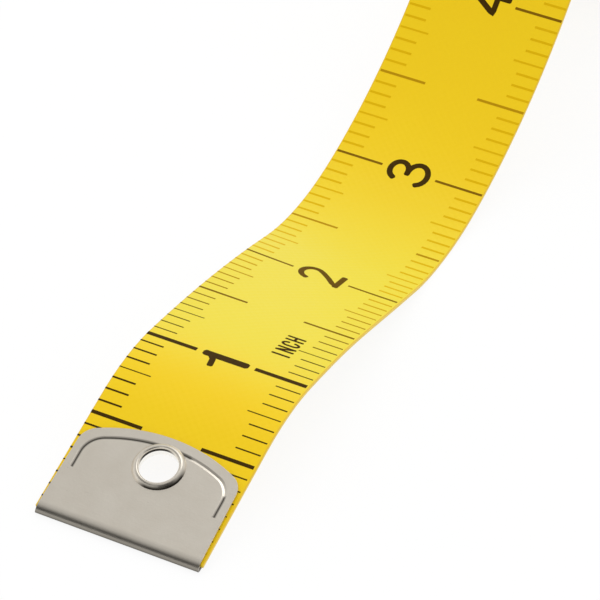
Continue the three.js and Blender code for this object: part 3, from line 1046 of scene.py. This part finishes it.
class TAPE_OT_print(bpy.types.Operator):
    """Print the inch scale on the strip"""

    bl_idname = "tape.print"
    bl_label = "Print"

    def ticks(self, sizes, half, sheets, seams):
        """The ticks of both edges, a sixteenth of an inch apart, to half past the last inch."""
        for i in range(1, 16 * sizes.last_inch + 9):
            s = i * INCH / 16
            marks = sheets[bisect.bisect(seams, s) - 1]
            reach, width, palest = sizes.short_tick, sizes.tick_width, sizes.pale_tick
            if i % 4 == 0:
                reach, width = sizes.quarter_tick, sizes.quarter_width
            if i % 8 == 0:
                reach = sizes.long_line
                palest = sizes.pale_half if i % 16 else sizes.pale_line
                first_widths = {8: sizes.half_line_width, 16: sizes.first_line_width}
                width = first_widths.get(i, sizes.line_width)
            right = sizes.short_tick if i == 8 * sizes.cut_line else reach
            pale = min(s - sizes.pale_start, sizes.pale_stop - s) / sizes.pale_reach
            pale = min(max(pale, 0.0), 1.0)
            cover = 1.0 + pale * (palest - 1.0)
            width *= 1.0 + pale * (sizes.pale_spread if i % 8 else 0.0)
            left_width = sizes.first_tick_width if i < 16 and i % 4 else width
            for start, stop, wide in (
                (half - sizes.left_margin, half - reach, left_width),
                (-half + sizes.right_margin, -half + sizes.right_shift + right, width),
            ):
                near, far = s - wide / 2, s + wide / 2
                count = math.ceil(abs(stop - start) / sizes.mark_step)
                rows = [start + (stop - start) * k / count for k in range(count + 1)]
                marks.loft(
                    [[(near, v, 0.0), (far, v, 0.0), (far, v, 1.0), (near, v, 1.0)] for v in rows],
                    cover,
                )

    def word(self, marks, text, start, foot, wide, high, stroke, gap, step, cover):
        """A word of plain strokes from a start along the strip, on a foot across it."""
        for number, letter in enumerate(text):
            left = start + number * (wide + gap) + stroke / 2
            for order, path in enumerate(GLYPHS[letter]):
                weight = LIGHT_STROKES.get((letter, order), 1.0)
                drawn = [
                    (left + x * (wide - stroke), foot + stroke / 2 + y * (high - stroke))
                    for x, y in path
                ]
                marks.stroke(drawn, stroke * weight, step, cover)

    def numbers(self, sizes, sheets, seams):
        """The numbers, each on its inch line, and the unit beside the first one."""
        foot = sizes.number_middle - sizes.number_height / 2
        for inch in range(1, sizes.last_inch + 1):
            s = inch * INCH
            text = str(inch)
            stroke = sizes.first_stroke if inch == 1 else sizes.number_stroke
            wide = len(text) * sizes.number_width + (len(text) - 1) * sizes.number_gap
            # A lone 1 stands with its stem on the line.
            stem = STEM * (sizes.number_width - stroke) + stroke / 2
            lead = stem if inch == 1 else wide / 2
            # One number gets less ink: a painted highlight.
            self.word(
                sheets[bisect.bisect(seams, s) - 1],
                text,
                s - lead,
                foot,
                sizes.number_width,
                sizes.number_height,
                stroke,
                sizes.number_gap,
                sizes.ink_step,
                sizes.rubbed_ink if inch == sizes.rubbed_number else 1.0,
            )
        # The unit lies across a seam, and goes with the stretch that carries most of it.
        middle = sizes.unit_start + 2 * sizes.unit_width
        self.word(
            sheets[bisect.bisect(seams, middle) - 1],
            "INCH",
            sizes.unit_start,
            sizes.unit_foot,
            sizes.unit_width,
            sizes.unit_height,
            sizes.unit_stroke,
            sizes.unit_gap,
            sizes.ink_step,
            1.0,
        )

    def execute(self, context):
        scene = context.scene
        sizes = scene.tape_print
        strip = scene.tape_strip

        def drift(s):
            """How far the print has wandered to the right at a length from zero."""
            return sizes.drift * min(max((s - sizes.drift_start) / sizes.drift_reach, 0.0), 1.0)

        lay = Lay(strip)
        seams = lay.seams()
        sheets = [Marks() for _ in STRETCHES]
        self.ticks(sizes, strip.width / 2, sheets, seams)
        self.numbers(sizes, sheets, seams)
        ink = printed_ink(scene.tape_finishes)
        foot = strip.thickness / 2 - sizes.ink_height / 2
        top = strip.thickness / 2 + sizes.ink_height
        for number, (body, _, joint) in enumerate(STRETCHES):
            mesh = sheets[number].mesh("ink_" + body, lay, drift, foot, top)
            piece = place_piece(link(mesh), "ink_" + body, Matrix.Identity(4), ink, smooth=20)
            join_stretch(piece, lay, number)
        return {"FINISHED"}


def rear_outline(front, rear, half, radius, corner, front_half, steps=12):
    """A plate's outline: straight front and sides, rounded corners and a bowed rear."""
    middle = rear - radius
    corner_x = middle + math.sqrt((radius - corner) ** 2 - (half - corner) ** 2)
    lean = math.atan2(half - corner, corner_x - middle)
    side = []
    for i in range(steps + 1):
        turn = lean * i / steps
        side.append((middle + radius * math.cos(turn), radius * math.sin(turn)))
    for i in range(1, steps + 1):
        turn = lean + (math.pi / 2 - lean) * i / steps
        side.append(
            (corner_x + corner * math.cos(turn), half - corner + corner * math.sin(turn))
        )
    other = [(x, -y) for x, y in reversed(side[1:])]
    return other + side + [(front, front_half), (front, -front_half)]


def folded_sheet(name, metal, front, rear, radius, corner, front_half):
    """One sheet folded over the strip's end, with both plates cut to the same outline."""
    middle = metal.fold_inner + metal.sheet / 2
    fold_at = front + metal.fold_reach
    reach = rear + metal.sheet - fold_at
    bpy.ops.object.select_all(action="DESELECT")
    bpy.ops.mesh.primitive_plane_add(size=1.0, location=(0, 0, 0))
    piece = bpy.context.object
    piece.name = name
    bpy.ops.object.mode_set(mode="EDIT")
    bpy.ops.mesh.select_all(action="SELECT")
    bpy.ops.transform.resize(value=(reach, 2 * front_half + 2 * metal.sheet, 1.0))
    bpy.ops.transform.translate(value=(fold_at + reach / 2, 0.0, middle))
    bpy.ops.mesh.select_mode(type="EDGE")
    bpy.ops.mesh.select_all(action="DESELECT")
    work = bmesh.from_edit_mesh(piece.data)
    for edge in work.edges:
        edge.select_set(all(abs(vert.co.x - fold_at) < TOUCH for vert in edge.verts))
    bmesh.update_edit_mesh(piece.data)
    bpy.ops.mesh.spin(steps=48, angle=math.pi, center=(fold_at, 0, 0), axis=(0, 1, 0))
    bpy.ops.mesh.extrude_region_move(TRANSFORM_OT_translate={"value": (reach, 0, 0)})
    bpy.ops.mesh.select_all(action="SELECT")
    bpy.ops.mesh.remove_doubles(threshold=TOUCH)
    bpy.ops.mesh.normals_make_consistent(inside=False)
    # The round bend is drawn out to half an ellipse, as a pressed fold is.
    bpy.ops.mesh.select_mode(type="VERT")
    bpy.ops.mesh.select_all(action="DESELECT")
    work = bmesh.from_edit_mesh(piece.data)
    for vert in work.verts:
        vert.select_set(vert.co.x < fold_at - TOUCH)
    bmesh.update_edit_mesh(piece.data)
    bpy.ops.transform.resize(
        value=((metal.fold_reach - metal.sheet / 2) / middle, 1.0, 1.0),
        center_override=(fold_at, 0.0, 0.0),
    )
    # The press leaves the fold fuller below its middle.
    work = bmesh.from_edit_mesh(piece.data)
    for vert in work.verts:
        bent = max(fold_at - vert.co.x, 0.0) / metal.fold_reach
        vert.co.x -= metal.fold_droop * bent * (middle - vert.co.z) / (2 * middle)
    bmesh.update_edit_mesh(piece.data)
    bpy.ops.object.mode_set(mode="OBJECT")
    shape(piece, "SOLIDIFY", thickness=metal.sheet, offset=0.0, use_even_offset=True)
    ahead = front - metal.sheet
    outline = rear_outline(ahead, rear, metal.half_width, radius, corner, front_half)
    cut(piece, prism("blank", outline, -4 * metal.sheet, 4 * metal.sheet), "INTERSECT")
    return piece


def round_edges(piece, metal):
    """Rounds the sheet's sharp edges, as tumbling before the plating does."""
    shape(
        piece,
        "BEVEL",
        width=metal.edge_round,
        segments=3,
        limit_method="ANGLE",
        angle_limit=math.radians(50),
        use_clamp_overlap=True,
    )


class TAPE_OT_tip(bpy.types.Operator):
    """Model the folded metal tip with its coined line and eyelet hole"""

    bl_idname = "tape.tip"
    bl_label = "Tip"

    def coined_line(self, metal, rear):
        """The tool that coins the line: a blunt edge along the plate's rear, set in from it."""
        inset = metal.coin_inset
        half = metal.half_width - metal.coin_side
        outline = rear_outline(
            metal.coin_start,
            rear - inset,
            half,
            metal.tip_rear_radius - inset,
            metal.coin_corner,
            half,
        )
        # The line runs round the rear alone, from its start at one side to that at the other.
        path = outline[:-2]
        path = [(metal.coin_start, path[0][1])] + path + [(metal.coin_start, path[-1][1])]
        path = [Vector(point) for point in path]
        wide, deep = metal.coin_width, metal.coin_depth
        face = metal.fold_inner + metal.sheet
        section = ((-wide, deep), (0.0, -deep), (wide, deep))
        places = []
        for i, point in enumerate(path):
            run = (path[min(i + 1, len(path) - 1)] - path[max(i - 1, 0)]).normalized()
            side = Vector((-run.y, run.x))
            for out, rise in section:
                places.append((*(point + out * side), face + rise))
        mesh = bpy.data.meshes.new("coining_tool")
        mesh.from_pydata(places, [], bar_faces(len(section), len(path)))
        face_outwards(mesh)
        return link(mesh)

    def execute(self, context):
        scene = context.scene
        metal = scene.tape_metal
        lay = Lay(scene.tape_strip)
        rear = metal.tip_front + metal.tip_length
        piece = folded_sheet(
            "tip",
            metal,
            metal.tip_front,
            rear,
            metal.tip_rear_radius,
            metal.tip_corner,
            metal.front_half,
        )
        hole = Matrix.Translation((metal.eyelet_at, -metal.eyelet_aside, 0.0))
        cut(piece, hole_punch(metal, 10 * metal.sheet, hole), "DIFFERENCE")
        round_edges(piece, metal)
        cut(piece, self.coined_line(metal, rear), "DIFFERENCE")
        # The bottom of the coined line is painted darker, except at its right corner.
        bottom = metal.fold_inner + metal.sheet - metal.coin_depth
        dark_paint = []
        for vert in piece.data.vertices:
            is_low = abs(vert.co.z - bottom) < TOUCH
            is_corner = vert.co.y < -metal.clean_side and vert.co.x > metal.clean_rear
            dark_paint.append(float(is_low and not is_corner))
        piece.data.attributes.new("dark_paint", "FLOAT", "POINT").data.foreach_set("value", dark_paint)
        nickel = nickel_plate(scene.tape_finishes)
        place_piece(piece, "tip_plate", lay.matrix(0.0), nickel, smooth=12, pressed=True)
        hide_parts("tip_shell")
        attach(piece, "tip")
        return {"FINISHED"}


class TAPE_OT_eyelet(bpy.types.Operator):
    """Model the rolled eyelet through the tip and the strip"""

    bl_idname = "tape.eyelet"
    bl_label = "Eyelet"

    # Steps of half a turn in the section's rounds.
    STEPS = 16
    # Painted shade darkens the bore's mouth at the rear left and the rim's foot at the front right:
    # the bearing of its middle, and the cosines from there at which it is full and gone.
    MOUTH_TARNISH = (math.radians(40), 0.75, 0.35)
    FOOT_TARNISH = (math.radians(-142), 0.7, 0.35)
    # Where on the way down the rim's outside the painted shade starts, and over which share it
    # grows.
    FOOT_START, FOOT_REACH = 0.3, 0.5

    def section(self, metal):
        """The eyelet's section as (radius, height) points: a rim, a tube and a flared lower end."""
        bore = metal.eyelet_bore / 2
        mouth = bore + metal.eyelet_flare
        outer = metal.eyelet_flange / 2
        tube = bore + metal.eyelet_wall
        face = metal.fold_inner + metal.sheet
        turns = [math.pi * i / self.STEPS for i in range(self.STEPS + 1)]
        half = self.STEPS // 2
        crest = bore + metal.eyelet_crest
        rim = [
            (
                crest - metal.eyelet_crest * math.cos(turn),
                face + metal.eyelet_rim - metal.eyelet_lip * (1 - math.sin(turn)),
            )
            for turn in turns[:half:2]
        ]
        rim += [
            (
                crest + (outer - crest) * step / half,
                face + metal.eyelet_rim * (1 - (step / half) ** 2),
            )
            for step in range(half + 1)
        ]
        roll = [
            (
                (mouth + outer) / 2 + (outer - mouth) / 2 * math.cos(turn),
                -face - metal.eyelet_foot * math.sin(turn),
            )
            for turn in turns
        ]
        flare = [
            (
                mouth - metal.eyelet_flare * math.sin(turn / 2),
                -face + face * (1 - math.cos(turn / 2)),
            )
            for turn in turns[2::2]
        ]
        # Two rings close together end the painted shade in the bore.
        low = face + metal.eyelet_rim - metal.eyelet_lip - metal.eyelet_shade
        bore_rings = [(bore, low), (bore, low + metal.eyelet_clearance / 4)]
        return bore_rings + rim + [(tube, face), (tube, -face)] + roll + flare

    def dirt(self, metal, place):
        """Painted shade and painted reflection at a point of the eyelet."""
        radius = math.hypot(place.x, place.y)
        bearing = math.atan2(place.y, place.x)
        bore = metal.eyelet_bore / 2
        crest = bore + metal.eyelet_crest
        top = metal.fold_inner + metal.sheet + metal.eyelet_rim
        low = top - metal.eyelet_lip - metal.eyelet_shade
        # The bore's lower part is painted near white, a painted reflection of the white floor.
        painted_highlight_radius = bore + metal.eyelet_flare + metal.eyelet_clearance / 2
        if radius < painted_highlight_radius and place.z < low + TOUCH:
            return 0.0, 1.0
        if radius < bore + TOUCH:
            return self.fade(bearing, *self.MOUTH_TARNISH), 0.0
        outward = (radius - crest) / (metal.eyelet_flange / 2 - crest)
        if place.z > 0.0 and outward > 0.0:
            foot = min(max((outward - self.FOOT_START) / self.FOOT_REACH, 0.0), 1.0)
            return foot * self.fade(bearing, *self.FOOT_TARNISH), 0.0
        return 0.0, 0.0

    @staticmethod
    def fade(bearing, middle, full, none):
        """One at a bearing, falling to nothing at both sides of it."""
        return min(max((math.cos(bearing - middle) - none) / (full - none), 0.0), 1.0)

    def execute(self, context):
        scene = context.scene
        metal = scene.tape_metal
        lay = Lay(scene.tape_strip)
        points = [(radius, 0.0, height) for radius, height in self.section(metal)]
        piece = closed_line("eyelet", points)
        bpy.ops.mesh.spin(steps=72, angle=math.tau, center=(0, 0, 0), axis=(0, 0, 1))
        bpy.ops.mesh.select_all(action="SELECT")
        bpy.ops.mesh.remove_doubles(threshold=TOUCH)
        bpy.ops.mesh.normals_make_consistent(inside=False)
        bpy.ops.object.mode_set(mode="OBJECT")
        mesh = piece.data
        # Painted shade and painted reflection at each point, kept as two attributes.
        dirt = [self.dirt(metal, vert.co) for vert in mesh.vertices]
        for name, amounts in zip(("dark_paint", "rubbed"), zip(*dirt)):
            mesh.attributes.new(name, "FLOAT", "POINT").data.foreach_set("value", amounts)
        nickel = nickel_plate(scene.tape_finishes)
        place = lay.matrix(metal.eyelet_at, aside=metal.eyelet_aside)
        place_piece(piece, "eyelet", place, nickel, smooth=50, pressed=True)
        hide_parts("tip_eyelet")
        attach(piece, "tip")
        return {"FINISHED"}


class TAPE_OT_clip(bpy.types.Operator):
    """Model the folded clip on the strip's tail"""

    bl_idname = "tape.clip"
    bl_label = "Tail clip"

    def execute(self, context):
        scene = context.scene
        metal = scene.tape_metal
        lay = Lay(scene.tape_strip)
        front = -metal.fold_inner - metal.sheet
        rear = front + metal.clip_length
        piece = folded_sheet(
            "clip",
            metal,
            front,
            rear,
            metal.clip_rear_radius,
            metal.clip_corner,
            metal.half_width,
        )
        round_edges(piece, metal)
        nickel = nickel_plate(scene.tape_finishes)
        place = lay.matrix(lay.end, back=True)
        place_piece(piece, "clip_plate", place, nickel, smooth=35, pressed=True)
        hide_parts("tail_clip")
        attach(piece, "roll")
        return {"FINISHED"}


class TAPE_PT_panel(bpy.types.Panel):
    """Lists the pieces of the tape measure"""

    bl_idname = "TAPE_PT_panel"
    bl_label = "Tape Measure"
    bl_space_type = "VIEW_3D"
    bl_region_type = "UI"
    bl_category = "Tape Measure"

    def draw(self, context):
        for operator in OPERATORS:
            self.layout.operator(operator.bl_idname)


GROUPS = {
    "tape_strip": StripSizes,
    "tape_print": PrintSizes,
    "tape_metal": MetalSizes,
    "tape_finishes": Finishes,
    "tape_stage": StageSettings,
}
OPERATORS = (
    TAPE_OT_stage,
    TAPE_OT_strip,
    TAPE_OT_print,
    TAPE_OT_tip,
    TAPE_OT_eyelet,
    TAPE_OT_clip,
)


def register():
    """Registers the classes, and puts the sizes and colours on the scene."""
    for item in (*GROUPS.values(), *OPERATORS, TAPE_PT_panel):
        bpy.utils.register_class(item)
    for name, group in GROUPS.items():
        setattr(bpy.types.Scene, name, PointerProperty(type=group))


def unregister():
    """Takes the sizes, colours and classes away again."""
    for name in GROUPS:
        delattr(bpy.types.Scene, name)
    for item in (TAPE_PT_panel, *OPERATORS, *GROUPS.values()):
        bpy.utils.unregister_class(item)


def main():
    """Makes the whole tape measure."""
    register()
    bpy.ops.tape.stage()
    bpy.ops.tape.strip()
    bpy.ops.tape.print()
    bpy.ops.tape.tip()
    bpy.ops.tape.eyelet()
    bpy.ops.tape.clip()


if __name__ == "__main__":
    main()
